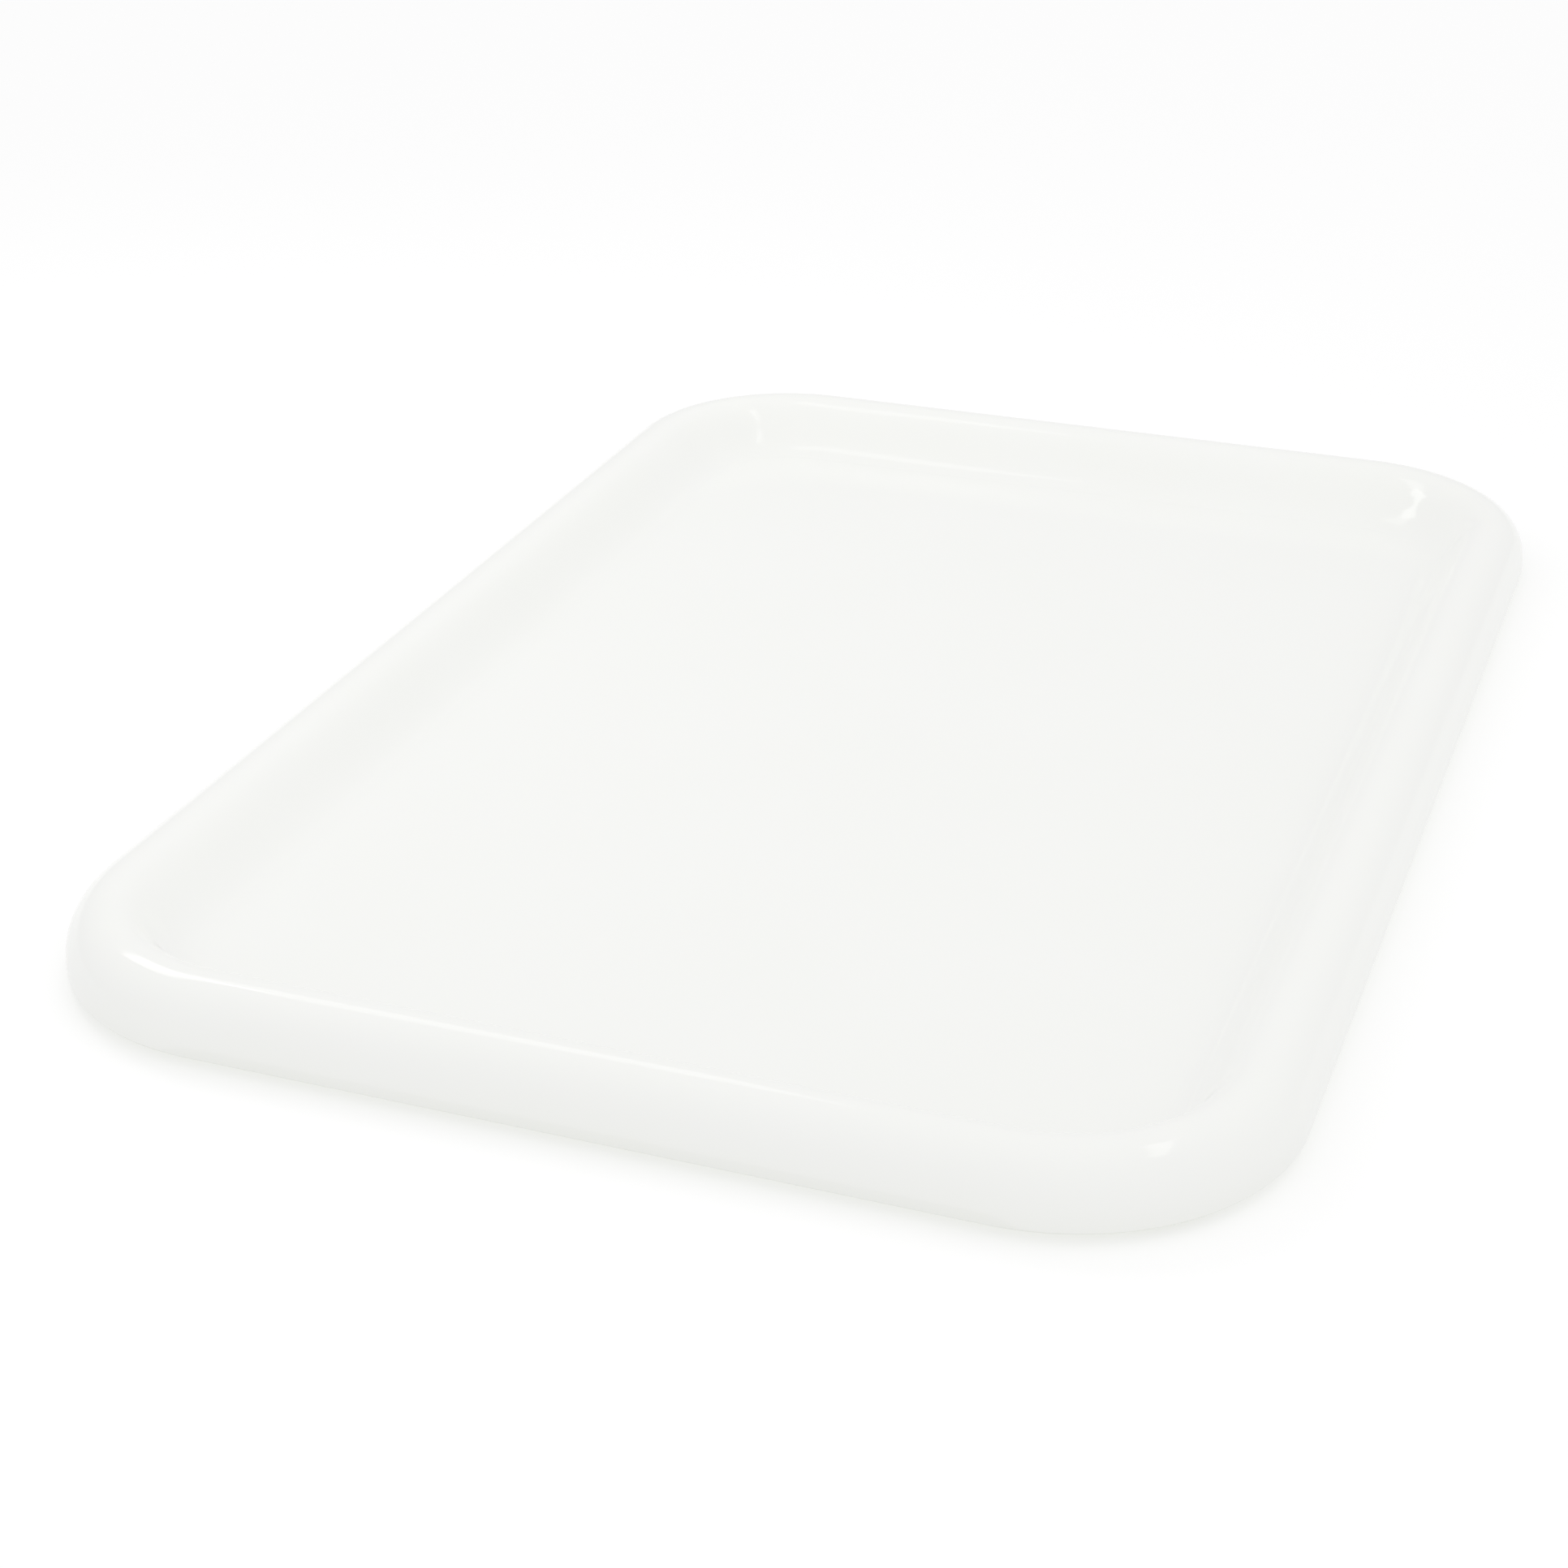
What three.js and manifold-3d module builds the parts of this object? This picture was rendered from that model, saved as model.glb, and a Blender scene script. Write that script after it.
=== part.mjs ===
// Deli cutting board: a one-piece moulded tray-form board with a rolled rim, standing on four rubber feet.
// Frame: millimetres, +Z up, origin on the table under the middle of the board.
// The short sides face -Y (front) and +Y (back), the long sides face -X (left) and +X (right).

import * as THREE from "three";
import { mergeVertices } from "three/addons/utils/BufferGeometryUtils.js";
import Module from "manifold-3d";

const wasm = await Module();
wasm.setup();

// ---------------------------------------------------------------- driving dimensions

// Whole board
const BOARD_WIDTH = 305; // X, the short way across
const BOARD_LENGTH = 457; // Y, the long way
const BOARD_HEIGHT = 19; // table to the crest of the rim
const CORNER_RADIUS = 57; // outside corners, in plan

// Rim section, measured inwards from the outside edge
const CREST_INSET = 12; // outside edge to the crest of the rim
const FLOOR_INSET = 31; // outside edge to the crease where the floor starts
const FLOOR_CORNER_RADIUS = 26; // corners of that crease, in plan
const SKIRT_GAP = 2.8; // table to the skirt's lip
const SKIRT_UPRIGHT = 2; // straight upright part of the skirt, above its rounded lip
const LIP_RADIUS = 0.8; // rounding along both edges of the lip
const CREST_ROLL = 9; // how far the crest's roll leads into the cove
const COVE_SWEEP = 10; // how far the cove's sweep leads out of the crease
const CREASE_SLOPE = THREE.MathUtils.degToRad(12); // the cove's slope where it meets the floor

// Moulding
const WALL = 2.4; // rim and skirt
const FLOOR_THICKNESS = 2.2;
const CHANNEL_STEP = 0.6; // upright edge of the floor plate in the hollow under the rim
const STAND_GAP = 0.5; // table to the underside of the floor

// Feet: a round pad with a stem that presses into a boss under each corner of the rim
const FOOT_INSET = 13; // outside edge to the foot's axis, along the corner's diagonal
const PAD_RADIUS = 6;
const PAD_THICKNESS = 2.2;
const PAD_EDGE = 0.6; // rounding round the pad's face
const STEM_RADIUS = 3.4;
const STEM_LENGTH = 7;
const BARB_HEIGHT = 0.4; // how far the stem's barbs stand out of it
const BARB_COUNT = 3;
const BOSS_WALL = 2.4; // plastic round the stem's socket
const FIT_GAP = 0.3; // between the rubber and the plastic, all round

// Fineness of the faceted surfaces
const CORNER_STEPS = 14; // each plan corner
const SHOULDER_STEPS = 10; // skirt to crest
const COVE_STEPS = 14; // crest to crease
const LIP_STEPS = 3;
const ROUND_STEPS = 28; // bosses, sockets and feet

// ---------------------------------------------------------------- sizes that follow

const floorTop = STAND_GAP + FLOOR_THICKNESS;
const lipCentre = SKIRT_GAP + LIP_RADIUS;
const skirtTop = lipCentre + SKIRT_UPRIGHT;
const barbRadius = STEM_RADIUS + BARB_HEIGHT;
const socketRadius = barbRadius + FIT_GAP;
const bossRadius = socketRadius + BOSS_WALL;
const bossBottom = PAD_THICKNESS + FIT_GAP;
const socketTop = PAD_THICKNESS + STEM_LENGTH + FIT_GAP;

const boardPlastic = new THREE.MeshStandardMaterial({ color: 0xf3f4ef, roughness: 0.22, metalness: 0 });
const footRubber = new THREE.MeshStandardMaterial({ color: 0xc9cbc6, roughness: 0.75, metalness: 0 });

// ---------------------------------------------------------------- solids

function solidOf(geometry) {
  const bare = geometry.index ? geometry.toNonIndexed() : geometry.clone();
  bare.deleteAttribute("normal");
  bare.deleteAttribute("uv");
  const merged = mergeVertices(bare, 1e-4);
  return new wasm.Manifold(new wasm.Mesh({
    numProp: 3,
    vertProperties: new Float32Array(merged.attributes.position.array),
    triVerts: new Uint32Array(merged.index.array),
  }));
}

function geometryOf(solid) {
  const mesh = solid.getMesh();
  const geometry = new THREE.BufferGeometry();
  geometry.setAttribute("position", new THREE.BufferAttribute(mesh.vertProperties, mesh.numProp));
  geometry.setIndex(new THREE.BufferAttribute(mesh.triVerts, 1));
  geometry.computeVertexNormals();
  return geometry;
}

function uprightCylinder(radius, bottom, top, x, y) {
  const geometry = new THREE.CylinderGeometry(radius, radius, top - bottom, ROUND_STEPS);
  geometry.rotateX(Math.PI / 2);
  geometry.translate(x, y, (bottom + top) / 2);
  return solidOf(geometry);
}

// ---------------------------------------------------------------- plan outline

// Corner radius at a distance in from the outside edge: it runs evenly from the edge to the floor's crease.
function cornerRadiusAt(inset) {
  return THREE.MathUtils.mapLinear(inset, 0, FLOOR_INSET, CORNER_RADIUS, FLOOR_CORNER_RADIUS);
}

// Anticlockwise outline, seen from above, of the board at a distance in from its outside edge.
function outlineAt(inset) {
  const radius = cornerRadiusAt(inset);
  const centreX = BOARD_WIDTH / 2 - inset - radius;
  const centreY = BOARD_LENGTH / 2 - inset - radius;
  const points = [];
  for (const [sideX, sideY, start] of [[1, -1, -90], [1, 1, 0], [-1, 1, 90], [-1, -1, 180]]) {
    for (let step = 0; step <= CORNER_STEPS; step++) {
      const angle = THREE.MathUtils.degToRad(start + (90 * step) / CORNER_STEPS);
      points.push([
        sideX * centreX + radius * Math.cos(angle),
        sideY * centreY + radius * Math.sin(angle),
      ]);
    }
  }
  return points;
}

// ---------------------------------------------------------------- rim section, as (inset, z) points

// The face that is seen: under the lip, up the skirt, over the crest and down the cove to the crease.
function outerSection() {
  const lip = new THREE.EllipseCurve(
    LIP_RADIUS, lipCentre, LIP_RADIUS, LIP_RADIUS, 1.5 * Math.PI, Math.PI, true,
  );
  const shoulder = new THREE.EllipseCurve(
    CREST_INSET, skirtTop, CREST_INSET, BOARD_HEIGHT - skirtTop, Math.PI, Math.PI / 2, true,
  );
  const cove = new THREE.CubicBezierCurve(
    new THREE.Vector2(CREST_INSET, BOARD_HEIGHT),
    new THREE.Vector2(CREST_INSET + CREST_ROLL, BOARD_HEIGHT),
    new THREE.Vector2(
      FLOOR_INSET - COVE_SWEEP * Math.cos(CREASE_SLOPE),
      floorTop + COVE_SWEEP * Math.sin(CREASE_SLOPE),
    ),
    new THREE.Vector2(FLOOR_INSET, floorTop),
  );
  return [
    ...lip.getPoints(LIP_STEPS),
    ...shoulder.getPoints(SHOULDER_STEPS),
    ...cove.getPoints(COVE_STEPS).slice(1),
  ];
}

// The same section moved square to itself into the plastic.
function offsetInwards(section, distance) {
  return section.map((point, index) => {
    const before = section[Math.max(index - 1, 0)];
    const after = section[Math.min(index + 1, section.length - 1)];
    const along = after.clone().sub(before).normalize();
    return new THREE.Vector2(point.x + distance * along.y, point.y - distance * along.x);
  });
}

// The face under the rim: from the floor plate's edge up along the hollow's roof and down inside the skirt.
function innerSection() {
  const roof = offsetInwards(outerSection(), WALL)
    .filter((point) => point.y > skirtTop || (point.x > CREST_INSET && point.y > STAND_GAP + CHANNEL_STEP))
    .reverse();
  const lip = new THREE.EllipseCurve(
    WALL - LIP_RADIUS, lipCentre, LIP_RADIUS, LIP_RADIUS, 0, -Math.PI / 2, true,
  );
  return [new THREE.Vector2(roof[0].x, STAND_GAP), ...roof, ...lip.getPoints(LIP_STEPS)];
}

// ---------------------------------------------------------------- lofts round the plan outline

// The section carried round the outline: a flat face below closes its first ring, and one above its last.
function loft(section) {
  const positions = [];
  const indices = [];
  for (const point of section) {
    for (const [x, y] of outlineAt(point.x)) positions.push(x, y, point.y);
  }
  const count = 4 * (CORNER_STEPS + 1);
  for (let band = 0; band < section.length - 1; band++) {
    const low = band * count;
    const high = low + count;
    for (let k = 0; k < count; k++) {
      const next = (k + 1) % count;
      indices.push(low + k, low + next, high + next, low + k, high + next, high + k);
    }
  }
  addCap(positions, indices, 0, count, section[0].y, false);
  addCap(positions, indices, (section.length - 1) * count, count, section[section.length - 1].y, true);
  const geometry = new THREE.BufferGeometry();
  geometry.setAttribute("position", new THREE.Float32BufferAttribute(positions, 3));
  geometry.setIndex(indices);
  return geometry;
}

// A flat face over one ring of points, as a fan round the board's axis.
function addCap(positions, indices, start, count, z, facesUp) {
  const centre = positions.length / 3;
  positions.push(0, 0, z);
  for (let k = 0; k < count; k++) {
    const a = start + k;
    const b = start + ((k + 1) % count);
    if (facesUp) indices.push(centre, a, b);
    else indices.push(centre, b, a);
  }
}

// ---------------------------------------------------------------- pieces

const corners = [
  { name: "foot_front_left", sideX: -1, sideY: -1 },
  { name: "foot_front_right", sideX: 1, sideY: -1 },
  { name: "foot_back_left", sideX: -1, sideY: 1 },
  { name: "foot_back_right", sideX: 1, sideY: 1 },
].map((corner) => {
  const reach = (CORNER_RADIUS - FOOT_INSET) * Math.SQRT1_2;
  return {
    ...corner,
    x: corner.sideX * (BOARD_WIDTH / 2 - CORNER_RADIUS + reach),
    y: corner.sideY * (BOARD_LENGTH / 2 - CORNER_RADIUS + reach),
  };
});

// Floor, cove, rim and skirt in one moulding, hollow under the rim, with a socketed boss in each corner.
function boardShell() {
  const outer = outerSection();
  const underRim = solidOf(loft([new THREE.Vector2(outer[0].x, 0), ...outer]));
  let shell = solidOf(loft([...innerSection(), ...outer]));
  for (const { x, y } of corners) {
    const boss = uprightCylinder(bossRadius, bossBottom, BOARD_HEIGHT, x, y).intersect(underRim);
    shell = shell.add(boss).subtract(uprightCylinder(socketRadius, 0, socketTop, x, y));
  }
  return geometryOf(shell);
}

// Rubber foot: flat pad with a rounded edge, and a stem with saw-tooth barbs that hold it in its socket.
function foot() {
  const barbPitch = STEM_LENGTH / (BARB_COUNT + 1);
  const profile = [new THREE.Vector2(0, 0)];
  const edge = new THREE.EllipseCurve(PAD_RADIUS - PAD_EDGE, PAD_EDGE, PAD_EDGE, PAD_EDGE, -Math.PI / 2, 0);
  profile.push(...edge.getPoints(LIP_STEPS), new THREE.Vector2(PAD_RADIUS, PAD_THICKNESS));
  profile.push(new THREE.Vector2(STEM_RADIUS, PAD_THICKNESS));
  for (let barb = 1; barb <= BARB_COUNT; barb++) {
    const z = PAD_THICKNESS + barb * barbPitch;
    profile.push(new THREE.Vector2(STEM_RADIUS, z), new THREE.Vector2(barbRadius, z));
    profile.push(new THREE.Vector2(STEM_RADIUS, z + barbPitch / 2));
  }
  const tip = PAD_THICKNESS + STEM_LENGTH;
  profile.push(new THREE.Vector2(STEM_RADIUS - PAD_EDGE, tip), new THREE.Vector2(0, tip));
  const geometry = new THREE.LatheGeometry(profile, ROUND_STEPS);
  geometry.rotateX(Math.PI / 2);
  return geometryOf(solidOf(geometry));
}

const board = new THREE.Group();

const shellMesh = new THREE.Mesh(boardShell(), boardPlastic);
shellMesh.name = "board_shell";
board.add(shellMesh);

const footGeometry = foot();
for (const { name, x, y } of corners) {
  const mesh = new THREE.Mesh(footGeometry, footRubber);
  mesh.name = name;
  mesh.position.set(x, y, 0);
  board.add(mesh);
}

export default board;
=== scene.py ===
"""Looks of the deli cutting board: a smooth moulded shell and four rubber feet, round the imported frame.

Metres, +Z up, origin on the table under the middle of the board. The short sides face -Y (front) and
+Y (back).
"""
import math

import bpy
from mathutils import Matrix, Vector


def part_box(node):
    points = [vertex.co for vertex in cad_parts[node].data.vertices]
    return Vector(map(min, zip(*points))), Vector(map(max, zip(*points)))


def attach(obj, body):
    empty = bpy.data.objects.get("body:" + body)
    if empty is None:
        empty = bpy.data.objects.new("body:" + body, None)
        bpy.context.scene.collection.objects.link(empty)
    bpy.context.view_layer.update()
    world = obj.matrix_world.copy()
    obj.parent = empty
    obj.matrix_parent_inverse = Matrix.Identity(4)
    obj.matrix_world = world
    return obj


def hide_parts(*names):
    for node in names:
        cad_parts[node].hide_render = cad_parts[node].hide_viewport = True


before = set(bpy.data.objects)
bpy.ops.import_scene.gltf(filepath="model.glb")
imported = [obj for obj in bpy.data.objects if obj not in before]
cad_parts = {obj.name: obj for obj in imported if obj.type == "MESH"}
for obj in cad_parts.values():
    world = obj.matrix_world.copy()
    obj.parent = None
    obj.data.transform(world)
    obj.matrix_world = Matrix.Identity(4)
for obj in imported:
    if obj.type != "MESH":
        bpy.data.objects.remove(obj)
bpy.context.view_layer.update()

MM = 0.001

# ------------------------------------------------------------------ sizes, as in the CAD part

shell_low, shell_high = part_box("board_shell")
foot_low, foot_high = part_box("foot_front_left")

HALF_WIDTH = shell_high.x
HALF_LENGTH = shell_high.y
CREST_HEIGHT = shell_high.z
STAND_GAP = shell_low.z
CORNER_RADIUS = 57 * MM
CREST_INSET = 12 * MM
FLOOR_INSET = 31 * MM
FLOOR_CORNER_RADIUS = 26 * MM
SKIRT_GAP = 2.8 * MM
SKIRT_UPRIGHT = 2 * MM
LIP_RADIUS = 0.8 * MM
CREST_ROLL = 9 * MM
COVE_SWEEP = 10 * MM
CREASE_SLOPE = math.radians(12)
WALL = 2.4 * MM
FLOOR_THICKNESS = 2.2 * MM
CHANNEL_STEP = 0.6 * MM
BOSS_WALL = 2.4 * MM
FIT_GAP = 0.3 * MM
STEM_RADIUS = 3.4 * MM
BARB_HEIGHT = 0.4 * MM
BARB_COUNT = 3
PAD_THICKNESS = 2.2 * MM
PAD_EDGE = 0.6 * MM

# Small roundings and marks of moulding, only in the looks
CREASE_ROUND = 0.5 * MM  # how far the crease's rounding runs each side of it
EDGE_ROUND = 0.3 * MM  # round the floor plate's underside
GROOVE_RADIUS = 3.4 * MM  # ring groove in each foot's face
GROOVE_WIDTH = 0.9 * MM
GROOVE_DEPTH = 0.4 * MM
GATE_RADIUS = 5 * MM  # dimple where the plastic entered, in the middle of the underside
GATE_DEPTH = 0.5 * MM
PIN_RADIUS = 3.5 * MM  # marks of the ejector pins on the underside
PIN_DEPTH = 0.12 * MM
PIN_PLACES = [(x * MM, y * MM) for x in (-95, 95) for y in (-165, 0, 165)]

PAD_RADIUS = (foot_high.x - foot_low.x) / 2
FOOT_HEIGHT = foot_high.z - foot_low.z
FLOOR_TOP = STAND_GAP + FLOOR_THICKNESS
LIP_CENTRE = SKIRT_GAP + LIP_RADIUS
SKIRT_TOP = LIP_CENTRE + SKIRT_UPRIGHT
SOCKET_RADIUS = STEM_RADIUS + BARB_HEIGHT + FIT_GAP
BOSS_RADIUS = SOCKET_RADIUS + BOSS_WALL
BOSS_BOTTOM = PAD_THICKNESS + FIT_GAP
SOCKET_TOP = FOOT_HEIGHT + FIT_GAP

FOOT_NODES = ("foot_front_left", "foot_front_right", "foot_back_left", "foot_back_right")

# Fineness of the smooth surfaces
CORNER_STEPS = 40
SHORT_SIDE_STEPS = 20
LONG_SIDE_STEPS = 32
LIP_STEPS = 6
SHOULDER_STEPS = 28
COVE_STEPS = 44
CREASE_STEPS = 4
SMALL_EDGE_STEPS = 8
ROUND_STEPS = 72
SMOOTH_ANGLE = math.radians(30)  # faces that meet at less than this are shaded as one surface

# Plastic. Scales of noise are in features to the metre.
PLASTIC_LIGHT = (0.92, 0.936, 0.88)
PLASTIC_DEEP = (0.91, 0.926, 0.866)
PLASTIC_IOR = 1.5
CLOUD_SCALE = 14
GLOSS_SCALE = 45
PLASTIC_ROUGHNESS = 0.07
ROUGHNESS_SPREAD = 0.04
WAVE_SCALE = 12  # slow waves of a big moulding
WAVE_RISE = 0.06 * MM
PEEL_SCALE = 260  # orange peel
PEEL_RISE = 0.003 * MM
# Runs of marks: features to the metre along each axis, turn about Z, noise where a mark starts and is full
CUTTING_MARKS = (
    ((40, 1500, 40), math.radians(24), 0.66, 0.74),
    ((1300, 55, 55), math.radians(-13), 0.67, 0.75),
)
MARK_DEPTH = 0.002 * MM
MARK_DULLING = 0.1
RUB_SCALE = 700
RUB_DULLING = 0.05
SCATTER_WEIGHT = 0.4
SCATTER_COLOUR = (1, 1, 0.9)  # how far each colour scatters, as a share of the depth
SCATTER_DEPTH = 5 * MM

# Rubber
RUBBER_LIGHT = (0.58, 0.59, 0.57)
RUBBER_DARK = (0.5, 0.51, 0.49)
SPECKLE_SCALE = 900
GRAIN_SCALE = 1600
GRAIN_RISE = 0.02 * MM
SCUFF_SCALE = 420
SCUFF_REACH = 0.5 * MM  # how far the scuffs run up from the table
SCUFF_POLISH = 0.15

# Camera
CAMERA_PLACE = (0.2317, -0.7187, 0.3575)
CAMERA_AIM = (-0.0163, -0.0464, 0.002)
CAMERA_LENS = 67.26  # in millimetres, for a sensor 36 mm wide

# Studio light
SKY_TONE = 0.82
SKY_LEAN = (0.12, -0.12, 0)  # how much brighter the surroundings are along each axis
LOWER_TONE = (0.7, 0.72, 0.67)
HORIZON_BLEND = 0.02
TONE_POINTS = ((0.3, 0.5), (0.6, 0.8), (0.8, 0.9))  # (tone in, tone out) on the display's curve
SOFTBOXES = (  # name, place, aim, width, height, radiance
    ("left_key", (-0.45, 0.03, 0.45), (-0.1, -0.2, 0.019), 0.16, 0.16, 3.4),
    ("left_fill", (-0.25, 0.12, 0.45), (-0.05, -0.218, 0.019), 0.28, 0.15, 1.5),
    ("right_strip", (0.35, -0.04, 0.66), (0.126, -0.21, 0.018), 0.36, 0.07, 2.2),
)

# Table
TABLE_REACH = 6
TABLE_COLOUR = (0.95, 0.95, 0.95)
TABLE_GLOW = 0.17


# ------------------------------------------------------------------ curves of the section

def arc(centre, radii, start, end, steps):
    """Points on an ellipse about centre, from angle start to angle end, in degrees."""
    points = []
    for step in range(steps + 1):
        angle = math.radians(start + (end - start) * step / steps)
        points.append((centre[0] + radii[0] * math.cos(angle), centre[1] + radii[1] * math.sin(angle)))
    return points


def bezier(corners, steps):
    """Points on the cubic curve with four control corners."""
    points = []
    for step in range(steps + 1):
        t = step / steps
        weights = ((1 - t) ** 3, 3 * (1 - t) ** 2 * t, 3 * (1 - t) * t ** 2, t ** 3)
        points.append(tuple(sum(w * c[k] for w, c in zip(weights, corners)) for k in (0, 1)))
    return points


def outer_section():
    """(inset, z) points of the seen face: under the lip, up the skirt, over the crest, down the cove."""
    lip = arc((LIP_RADIUS, LIP_CENTRE), (LIP_RADIUS, LIP_RADIUS), 270, 180, LIP_STEPS)
    rise = CREST_HEIGHT - SKIRT_TOP
    shoulder = arc((CREST_INSET, SKIRT_TOP), (CREST_INSET, rise), 180, 90, SHOULDER_STEPS)
    cove = bezier((
        (CREST_INSET, CREST_HEIGHT),
        (CREST_INSET + CREST_ROLL, CREST_HEIGHT),
        (FLOOR_INSET - COVE_SWEEP * math.cos(CREASE_SLOPE), FLOOR_TOP + COVE_SWEEP * math.sin(CREASE_SLOPE)),
        (FLOOR_INSET, FLOOR_TOP),
    ), COVE_STEPS)
    return lip + shoulder + cove[1:]


def rounded_crease(section):
    """The section with its crease eased by a small curve, which ends on the floor."""
    kept = [p for p in section if p[0] < FLOOR_INSET - CREASE_ROUND or p[1] > FLOOR_TOP + FLOOR_THICKNESS]
    start = kept[-1]
    end = (FLOOR_INSET + CREASE_ROUND, FLOOR_TOP)
    rise = start[1] - FLOOR_TOP
    for step in range(1, CREASE_STEPS + 1):
        t = step / CREASE_STEPS
        kept.append((start[0] + (end[0] - start[0]) * t, FLOOR_TOP + rise * (1 - t) ** 2))
    return kept


def offset_inwards(section, distance):
    """The section moved square to itself into the plastic."""
    moved = []
    for index, (inset, z) in enumerate(section):
        before = section[max(index - 1, 0)]
        after = section[min(index + 1, len(section) - 1)]
        along = Vector((after[0] - before[0], after[1] - before[1])).normalized()
        moved.append((inset + distance * along.y, z - distance * along.x))
    return moved


def inner_section():
    """(inset, z) points under the rim: floor plate's edge, roof of the hollow, inside of the skirt, lip."""
    roof = [
        p for p in offset_inwards(outer_section(), WALL)
        if p[1] > SKIRT_TOP or (p[0] > CREST_INSET and p[1] > STAND_GAP + CHANNEL_STEP)
    ]
    lip = arc((WALL - LIP_RADIUS, LIP_CENTRE), (LIP_RADIUS, LIP_RADIUS), 0, -90, LIP_STEPS)
    edge_centre = (roof[-1][0] + EDGE_ROUND, STAND_GAP + EDGE_ROUND)
    edge = arc(edge_centre, (EDGE_ROUND, EDGE_ROUND), 270, 180, LIP_STEPS)
    return edge + roof[::-1] + lip


# ------------------------------------------------------------------ plan outline and lofts

def corner_radius_at(inset):
    """Corner radius of the outline at a distance in from the outside edge."""
    return CORNER_RADIUS + (FLOOR_CORNER_RADIUS - CORNER_RADIUS) * inset / FLOOR_INSET


def outline_at(inset):
    """Anticlockwise plan outline at a distance in from the outside edge, with points along the sides too."""
    radius = corner_radius_at(inset)
    centre_x = HALF_WIDTH - inset - radius
    centre_y = HALF_LENGTH - inset - radius
    corners = []
    for side_x, side_y, start in ((1, -1, -90), (1, 1, 0), (-1, 1, 90), (-1, -1, 180)):
        centre = (side_x * centre_x, side_y * centre_y)
        corners.append(arc(centre, (radius, radius), start, start + 90, CORNER_STEPS))
    points = []
    for index, corner in enumerate(corners):
        points += corner
        steps = LONG_SIDE_STEPS if index % 2 == 0 else SHORT_SIDE_STEPS
        first = corner[-1]
        last = corners[(index + 1) % 4][0]
        for step in range(1, steps):
            t = step / steps
            points.append((first[0] + (last[0] - first[0]) * t, first[1] + (last[1] - first[1]) * t))
    return points


def loft(section):
    """Vertices and faces of a section carried round the plan outline, closed flat at both its ends."""
    rings = [[(x, y, z) for x, y in outline_at(inset)] for inset, z in section]
    vertices = [point for ring in rings for point in ring]
    count = len(rings[0])
    faces = [tuple(reversed(range(count)))]
    for band in range(len(rings) - 1):
        low = band * count
        high = low + count
        for k in range(count):
            after = (k + 1) % count
            faces.append((low + k, low + after, high + after, high + k))
    faces.append(tuple(range((len(rings) - 1) * count, len(rings) * count)))
    return vertices, faces


def turned(profile, steps):
    """Vertices and faces of a solid turned about Z from (radius, z) points that start and end on the axis."""
    vertices = [(0, 0, profile[0][1])]
    for radius, z in profile[1:-1]:
        vertices += [(x, y, z) for x, y in arc((0, 0), (radius, radius), 0, 360, steps)[:-1]]
    vertices.append((0, 0, profile[-1][1]))
    last = len(vertices) - 1
    rings = len(profile) - 2
    faces = []
    for k in range(steps):
        after = (k + 1) % steps
        faces.append((0, 1 + after, 1 + k))
        for ring in range(rings - 1):
            low = 1 + ring * steps
            faces.append((low + k, low + after, low + steps + after, low + steps + k))
        top = 1 + (rings - 1) * steps
        faces.append((top + k, top + after, last))
    return vertices, faces


def make_object(name, vertices, faces):
    """A mesh object in the scene."""
    mesh = bpy.data.meshes.new(name)
    mesh.from_pydata(vertices, [], faces)
    mesh.update()
    made = bpy.data.objects.new(name, mesh)
    bpy.context.scene.collection.objects.link(made)
    return made


def upright_cylinder(radius, bottom, top, x, y):
    """A scratch solid for combine."""
    vertices, faces = turned([(0, bottom), (radius, bottom), (radius, top), (0, top)], ROUND_STEPS)
    return make_object("cutter", [(vx + x, vy + y, vz) for vx, vy, vz in vertices], faces)


def combine(target, operation, other):
    """Joins other's solid to target's, takes it out, or keeps what they share; other is then removed."""
    modifier = target.modifiers.new("combine", "BOOLEAN")
    modifier.operation = operation
    modifier.solver = "MANIFOLD"
    modifier.object = other
    depsgraph = bpy.context.evaluated_depsgraph_get()
    mesh = bpy.data.meshes.new_from_object(target.evaluated_get(depsgraph))
    target.modifiers.clear()
    target.data = mesh
    bpy.data.objects.remove(other)


# ------------------------------------------------------------------ pieces

def foot_places():
    """Each foot's node with the middle of its plan."""
    places = []
    for node in FOOT_NODES:
        low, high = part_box(node)
        places.append((node, (low.x + high.x) / 2, (low.y + high.y) / 2))
    return places


def make_shell():
    """The moulding, with its bosses and sockets and the marks on its underside."""
    outer = outer_section()
    shell = make_object("moulded_shell", *loft(inner_section() + rounded_crease(outer)))
    for _, x, y in foot_places():
        boss = upright_cylinder(BOSS_RADIUS, BOSS_BOTTOM, CREST_HEIGHT, x, y)
        under_rim = make_object("under_rim", *loft([(outer[0][0], 0), *outer]))
        combine(boss, "INTERSECT", under_rim)
        combine(shell, "UNION", boss)
        combine(shell, "DIFFERENCE", upright_cylinder(SOCKET_RADIUS, 0, SOCKET_TOP, x, y))
    combine(shell, "DIFFERENCE", upright_cylinder(GATE_RADIUS, 0, STAND_GAP + GATE_DEPTH, 0, 0))
    for x, y in PIN_PLACES:
        combine(shell, "DIFFERENCE", upright_cylinder(PIN_RADIUS, 0, STAND_GAP + PIN_DEPTH, x, y))
    shell.data.shade_smooth()
    shell.data.set_sharp_from_angle(angle=SMOOTH_ANGLE)
    return shell


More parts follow.
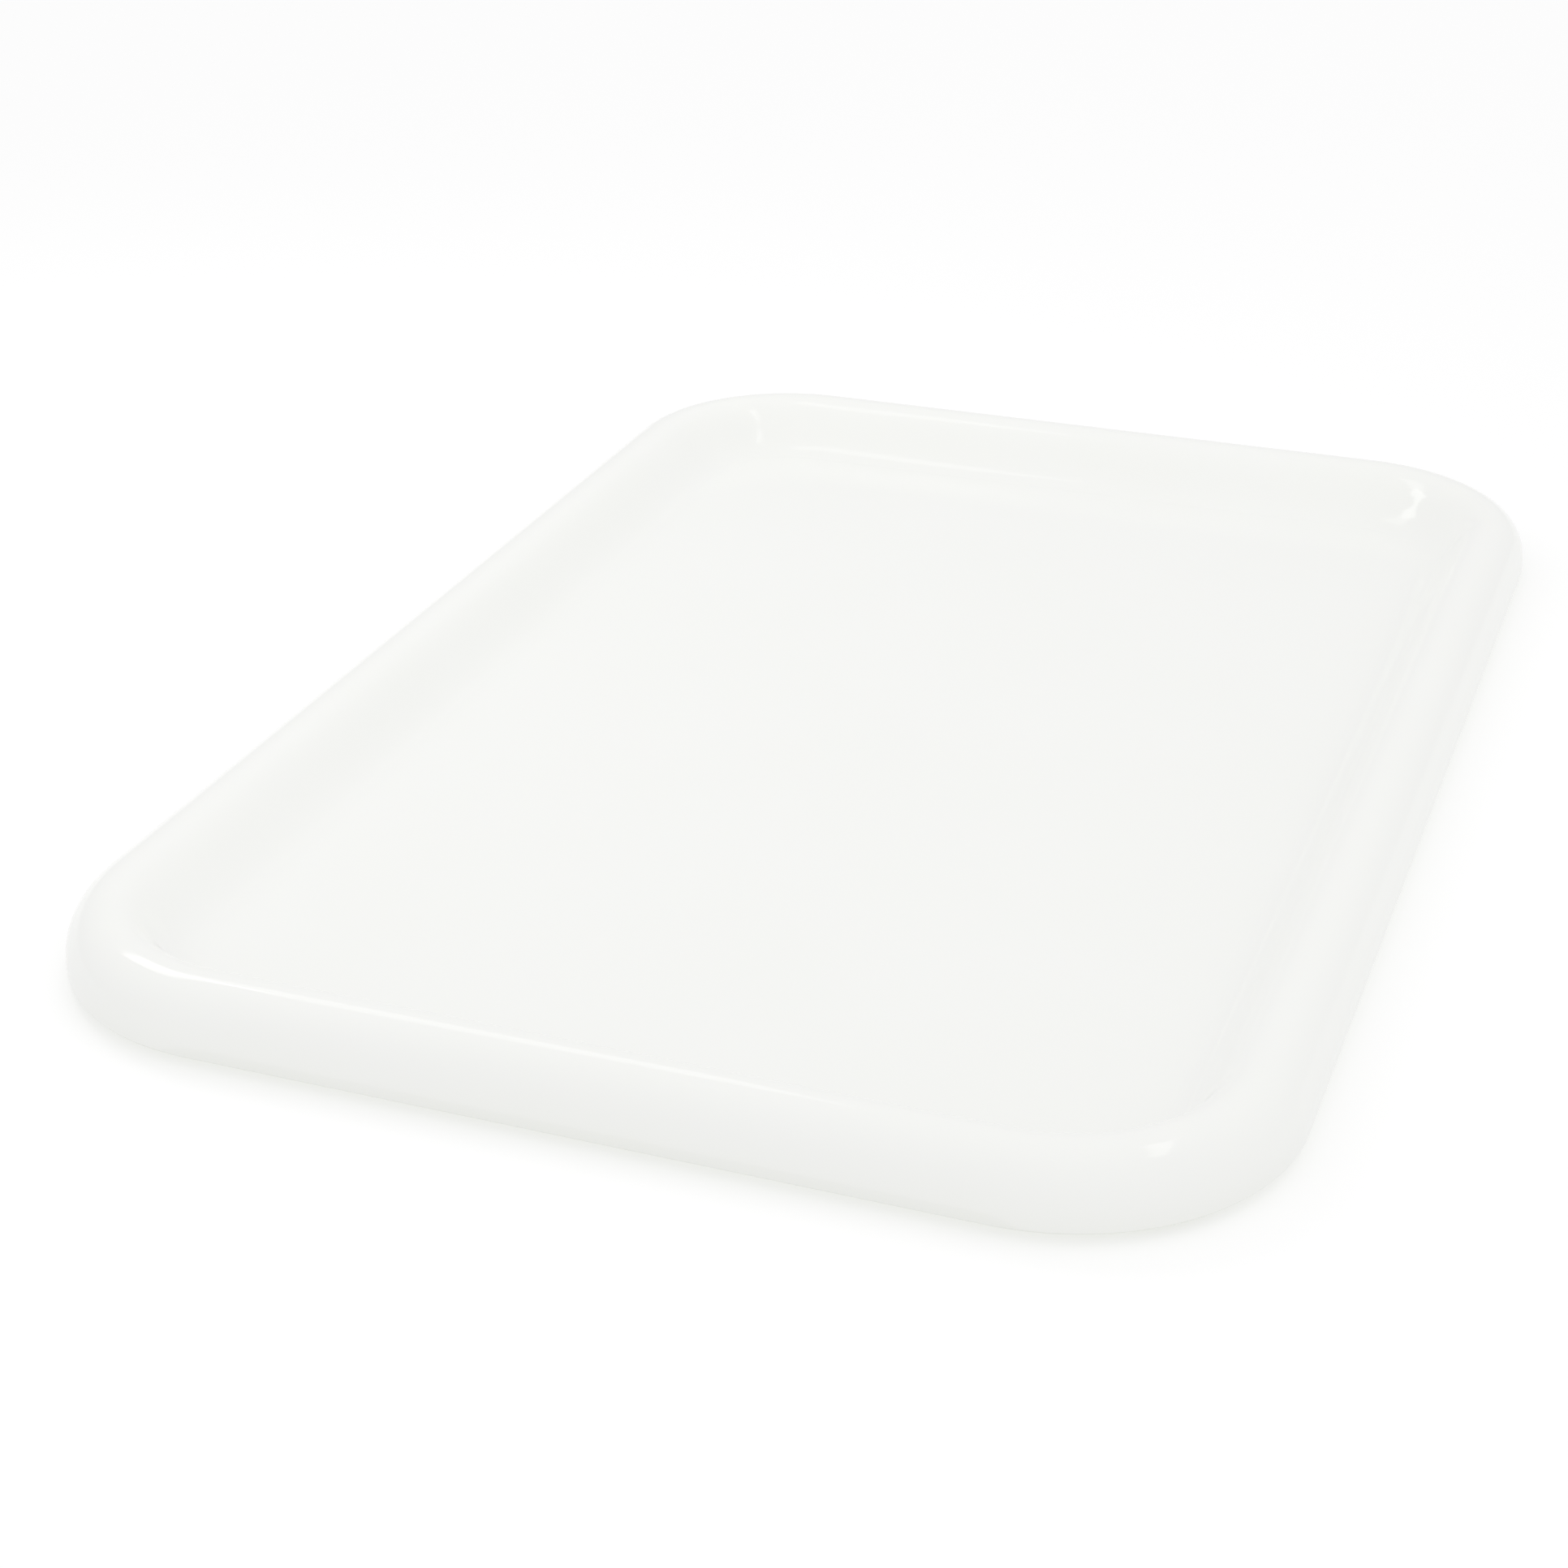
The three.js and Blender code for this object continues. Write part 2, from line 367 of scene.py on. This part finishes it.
def foot_profile():
    """(radius, z) points of a foot, from the middle of its face up to the tip of its barbed stem."""
    tip = FOOT_HEIGHT
    pitch = (tip - PAD_THICKNESS) / (BARB_COUNT + 1)
    barb_radius = STEM_RADIUS + BARB_HEIGHT
    profile = [(0, 0)]
    profile += arc((GROOVE_RADIUS, 0), (GROOVE_WIDTH / 2, GROOVE_DEPTH), 180, 0, SMALL_EDGE_STEPS)
    pad_edge_centre = (PAD_RADIUS - PAD_EDGE, PAD_EDGE)
    profile += arc(pad_edge_centre, (PAD_EDGE, PAD_EDGE), -90, 0, SMALL_EDGE_STEPS)
    profile += [(PAD_RADIUS, PAD_THICKNESS), (STEM_RADIUS, PAD_THICKNESS)]
    for barb in range(1, BARB_COUNT + 1):
        z = PAD_THICKNESS + barb * pitch
        profile += [(STEM_RADIUS, z), (barb_radius, z), (STEM_RADIUS, z + pitch / 2)]
    profile += [(STEM_RADIUS - PAD_EDGE, tip), (0, tip)]
    return profile


def make_foot(node, x, y):
    """One pressed-in rubber foot."""
    vertices, faces = turned(foot_profile(), ROUND_STEPS)
    foot = make_object("rubber_" + node, [(vx + x, vy + y, vz) for vx, vy, vz in vertices], faces)
    foot.data.shade_smooth()
    foot.data.set_sharp_from_angle(angle=SMOOTH_ANGLE)
    return foot


# ------------------------------------------------------------------ materials

MIX_FIRST, MIX_SECOND, MIX_RESULT = 6, 7, 2  # the colour sockets of a Mix node, which share their names


class Surface:
    """A material's node tree with its Principled shader; textures are laid over the object in metres."""

    def __init__(self, name):
        self.material = bpy.data.materials.new(name)
        self.material.use_nodes = True
        self.nodes = self.material.node_tree.nodes
        self.links = self.material.node_tree.links
        self.shader = self.nodes["Principled BSDF"]
        self.place = self.nodes.new("ShaderNodeTexCoord").outputs["Object"]

    def connect(self, value, socket):
        """Gives a socket another node's output, or a constant."""
        if hasattr(value, "links"):
            self.links.new(value, socket)
        else:
            socket.default_value = value

    def set(self, name, value):
        """Gives one of the shader's own sockets an output or a constant."""
        self.connect(value, self.shader.inputs[name])

    def noise(self, per_metre, detail, stretch=None, turn=0):
        """Noise with about per_metre features to the metre, stretched along axes turned about Z."""
        place = self.place
        if stretch:
            mapping = self.nodes.new("ShaderNodeMapping")
            mapping.inputs["Rotation"].default_value = (0, 0, turn)
            mapping.inputs["Scale"].default_value = stretch
            self.links.new(place, mapping.inputs["Vector"])
            place = mapping.outputs["Vector"]
        noise = self.nodes.new("ShaderNodeTexNoise")
        noise.inputs["Scale"].default_value = per_metre
        noise.inputs["Detail"].default_value = detail
        self.links.new(place, noise.inputs["Vector"])
        return noise.outputs["Fac"]

    def remap(self, value, low, high, to_low, to_high):
        """The value eased from to_low to to_high as it goes from low to high."""
        remap = self.nodes.new("ShaderNodeMapRange")
        remap.interpolation_type = "SMOOTHSTEP"
        remap.inputs["From Min"].default_value = low
        remap.inputs["From Max"].default_value = high
        remap.inputs["To Min"].default_value = to_low
        remap.inputs["To Max"].default_value = to_high
        self.links.new(value, remap.inputs["Value"])
        return remap.outputs["Result"]

    def maths(self, operation, a, b):
        """The result of an operation on two outputs or constants."""
        node = self.nodes.new("ShaderNodeMath")
        node.operation = operation
        self.connect(a, node.inputs[0])
        self.connect(b, node.inputs[1])
        return node.outputs["Value"]

    def height(self):
        """Height above the table."""
        split = self.nodes.new("ShaderNodeSeparateXYZ")
        self.links.new(self.place, split.inputs["Vector"])
        return split.outputs["Z"]

    def blend(self, factor, first, second):
        """A colour from first to second as factor goes from 0 to 1."""
        mix = self.nodes.new("ShaderNodeMix")
        mix.data_type = "RGBA"
        self.links.new(factor, mix.inputs["Factor"])
        mix.inputs[MIX_FIRST].default_value = (*first, 1)
        mix.inputs[MIX_SECOND].default_value = (*second, 1)
        return mix.outputs[MIX_RESULT]

    def bump(self, height, rise, under=None):
        """A bump that rises so many metres as height goes from 0 to 1."""
        bump = self.nodes.new("ShaderNodeBump")
        bump.inputs["Distance"].default_value = rise
        self.links.new(height, bump.inputs["Height"])
        if under:
            self.links.new(under, bump.inputs["Normal"])
        return bump.outputs["Normal"]


def moulded_plastic():
    """Glossy white moulding: cloudy white, orange peel, fine cutting marks on the floor, a rubbed crest."""
    plastic = Surface("moulded_white_plastic")
    cloud = plastic.remap(plastic.noise(CLOUD_SCALE, 3), 0.35, 0.65, 0, 1)
    plastic.set("Base Color", plastic.blend(cloud, PLASTIC_LIGHT, PLASTIC_DEEP))

    height = plastic.height()
    on_floor = plastic.remap(height, FLOOR_TOP + 0.2 * MM, FLOOR_TOP + 1.5 * MM, 1, 0)
    on_crest = plastic.remap(height, CREST_HEIGHT - 1.6 * MM, CREST_HEIGHT - 0.2 * MM, 0, 1)
    runs = [
        plastic.remap(plastic.noise(1, 2, stretch, turn), start, full, 0, 1)
        for stretch, turn, start, full in CUTTING_MARKS
    ]
    marks = plastic.maths("MULTIPLY", plastic.maths("MAXIMUM", *runs), on_floor)
    rub = plastic.maths("MULTIPLY", plastic.remap(plastic.noise(RUB_SCALE, 4), 0.5, 0.7, 0, 1), on_crest)

    dullest = PLASTIC_ROUGHNESS + ROUGHNESS_SPREAD
    gloss = plastic.remap(plastic.noise(GLOSS_SCALE, 3), 0.3, 0.7, PLASTIC_ROUGHNESS, dullest)
    marks_dulling = plastic.maths("MULTIPLY", marks, MARK_DULLING)
    wear = plastic.maths("ADD", marks_dulling, plastic.maths("MULTIPLY", rub, RUB_DULLING))
    plastic.set("Roughness", plastic.maths("ADD", gloss, wear))

    normal = plastic.bump(plastic.noise(WAVE_SCALE, 1), WAVE_RISE)
    normal = plastic.bump(plastic.noise(PEEL_SCALE, 2), PEEL_RISE, normal)
    plastic.set("Normal", plastic.bump(marks, -MARK_DEPTH, normal))

    plastic.set("IOR", PLASTIC_IOR)
    plastic.set("Subsurface Weight", SCATTER_WEIGHT)
    plastic.set("Subsurface Radius", SCATTER_COLOUR)
    plastic.set("Subsurface Scale", SCATTER_DEPTH)
    return plastic.material


def foot_rubber():
    """Matt grey rubber with a fine grain, and glossier scuffs on the face that stands on the table."""
    rubber = Surface("grey_foot_rubber")
    speckle = rubber.remap(rubber.noise(SPECKLE_SCALE, 4), 0.35, 0.65, 0, 1)
    rubber.set("Base Color", rubber.blend(speckle, RUBBER_LIGHT, RUBBER_DARK))

    near_table = rubber.remap(rubber.height(), 0, SCUFF_REACH, 1, 0)
    scuffs = rubber.maths("MULTIPLY", rubber.remap(rubber.noise(SCUFF_SCALE, 3), 0.45, 0.6, 0, 1), near_table)
    grain = rubber.remap(rubber.noise(GRAIN_SCALE, 3), 0.3, 0.7, 0.62, 0.78)
    polish = rubber.maths("MULTIPLY", scuffs, SCUFF_POLISH)
    rubber.set("Roughness", rubber.maths("SUBTRACT", grain, polish))
    rubber.set("Normal", rubber.bump(rubber.noise(GRAIN_SCALE, 3), GRAIN_RISE))
    return rubber.material


# ------------------------------------------------------------------ studio

def look_at(thing, place, aim):
    """Puts a camera or light at a place and points it at another."""
    thing.location = place
    thing.rotation_mode = "QUATERNION"
    thing.rotation_quaternion = (Vector(aim) - Vector(place)).to_track_quat("-Z", "Y")


def make_camera():
    """The photographer's place, in front of the board's front right corner and above it."""
    camera = bpy.data.objects.new("camera", bpy.data.cameras.new("camera"))
    camera.data.sensor_width = 36
    camera.data.lens = CAMERA_LENS
    camera.data.clip_start = 0.05
    camera.data.clip_end = 30
    look_at(camera, CAMERA_PLACE, CAMERA_AIM)
    bpy.context.scene.collection.objects.link(camera)
    bpy.context.scene.camera = camera


def add_softbox(name, place, aim, width, height, radiance):
    """A rectangular light that shows in gloss as a panel of that radiance, but not to the camera."""
    data = bpy.data.lights.new(name, "AREA")
    data.shape = "RECTANGLE"
    data.size = width
    data.size_y = height
    data.energy = radiance * math.pi * width * height
    light = bpy.data.objects.new(name, data)
    light.visible_camera = False
    look_at(light, place, aim)
    bpy.context.scene.collection.objects.link(light)


def make_surroundings():
    """White surroundings, brighter towards the front right, over a dimmer, faintly green lower half.

    The lower half stands in for the light that the table would bounce: see make_floor.
    """
    world = bpy.data.worlds.new("studio")
    world.use_nodes = True
    nodes, links = world.node_tree.nodes, world.node_tree.links
    direction = nodes.new("ShaderNodeTexCoord").outputs["Generated"]
    lean = nodes.new("ShaderNodeVectorMath")
    lean.operation = "DOT_PRODUCT"
    lean.inputs[1].default_value = SKY_LEAN
    links.new(direction, lean.inputs[0])
    sky = nodes.new("ShaderNodeMath")
    sky.inputs[1].default_value = SKY_TONE
    links.new(lean.outputs["Value"], sky.inputs[0])
    split = nodes.new("ShaderNodeSeparateXYZ")
    links.new(direction, split.inputs["Vector"])
    above = nodes.new("ShaderNodeMapRange")
    above.inputs["From Min"].default_value = -HORIZON_BLEND
    above.inputs["From Max"].default_value = HORIZON_BLEND
    links.new(split.outputs["Z"], above.inputs["Value"])
    halves = nodes.new("ShaderNodeMix")
    halves.data_type = "RGBA"
    halves.inputs[MIX_FIRST].default_value = (*LOWER_TONE, 1)
    links.new(above.outputs["Result"], halves.inputs["Factor"])
    links.new(sky.outputs["Value"], halves.inputs[MIX_SECOND])
    links.new(halves.outputs[MIX_RESULT], nodes["Background"].inputs["Color"])
    bpy.context.scene.world = world


def make_tone_curve():
    """Lifts the middle tones and flattens those near white."""
    view = bpy.context.scene.view_settings
    view.view_transform = "Standard"
    view.use_curve_mapping = True
    curve = view.curve_mapping.curves[3]  # the one for all three colours together
    for x, y in TONE_POINTS:
        curve.points.new(x, y)
    view.curve_mapping.update()


def make_floor():
    """The plain pale table that the board stands on, which glows a little.

    Diffuse rays pass through it, so it bounces no diffuse light on to the board. The lower half of the
    surroundings lights the board from below instead.
    """
    reach = TABLE_REACH
    corners = [(-reach, -reach, 0), (reach, -reach, 0), (reach, reach, 0), (-reach, reach, 0)]
    floor = make_object("studio_floor", corners, [(0, 1, 2, 3)])
    material = bpy.data.materials.new("pale_floor")
    material.use_nodes = True
    shader = material.node_tree.nodes["Principled BSDF"]
    shader.inputs["Base Color"].default_value = (*TABLE_COLOUR, 1)
    shader.inputs["Roughness"].default_value = 0.9
    shader.inputs["Specular IOR Level"].default_value = 0.1
    shader.inputs["Emission Color"].default_value = (1, 1, 1, 1)
    shader.inputs["Emission Strength"].default_value = TABLE_GLOW
    floor.data.materials.append(material)
    floor.visible_diffuse = False


# ------------------------------------------------------------------ assembly

make_camera()
make_surroundings()
for softbox in SOFTBOXES:
    add_softbox(*softbox)
make_floor()
make_tone_curve()

shell = make_shell()
shell.data.materials.clear()
shell.data.materials.append(moulded_plastic())
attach(shell, "root")
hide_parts("board_shell")

rubber = foot_rubber()
for node, x, y in foot_places():
    foot = make_foot(node, x, y)
    foot.data.materials.append(rubber)
    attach(foot, "root")
    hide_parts(node)
